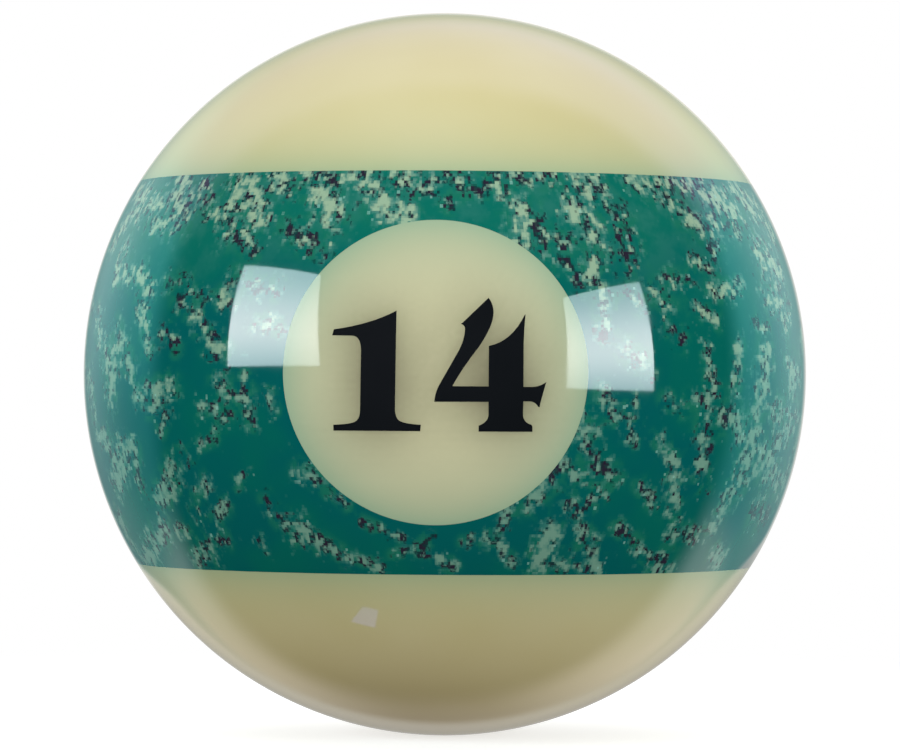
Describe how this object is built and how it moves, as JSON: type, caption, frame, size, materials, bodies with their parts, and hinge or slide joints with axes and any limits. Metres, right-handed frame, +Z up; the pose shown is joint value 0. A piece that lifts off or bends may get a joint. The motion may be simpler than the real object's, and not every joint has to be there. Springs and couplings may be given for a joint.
{
  "type": "numbered pool ball",
  "caption": "Polished cast-resin ball with ivory caps, a marbled teal stripe, ivory number discs front and back, and flush black numerals.",
  "frame": {"origin": "centre of the ball", "axes": "+Z up through the middle of the upper cap, square to the stripe; the front number disc faces -Y and the back one +Y, with numerals upright about +Z"},
  "size_m": [0.0572, 0.0572, 0.0572],
  "materials": {
    "core_resin": "matte",
    "ivory_resin": "polished",
    "stripe_resin": "polished",
    "numeral_resin": "polished"
  },
  "bodies": {
    "root": {"core": "core_resin", "upper_cap": "ivory_resin", "lower_cap": "ivory_resin", "stripe_band": "stripe_resin", "front_number_disc": "ivory_resin", "front_numeral_one": "numeral_resin", "front_numeral_four": "numeral_resin", "back_number_disc": "ivory_resin", "back_numeral_one": "numeral_resin", "back_numeral_four": "numeral_resin"}
  },
  "joints": []
}
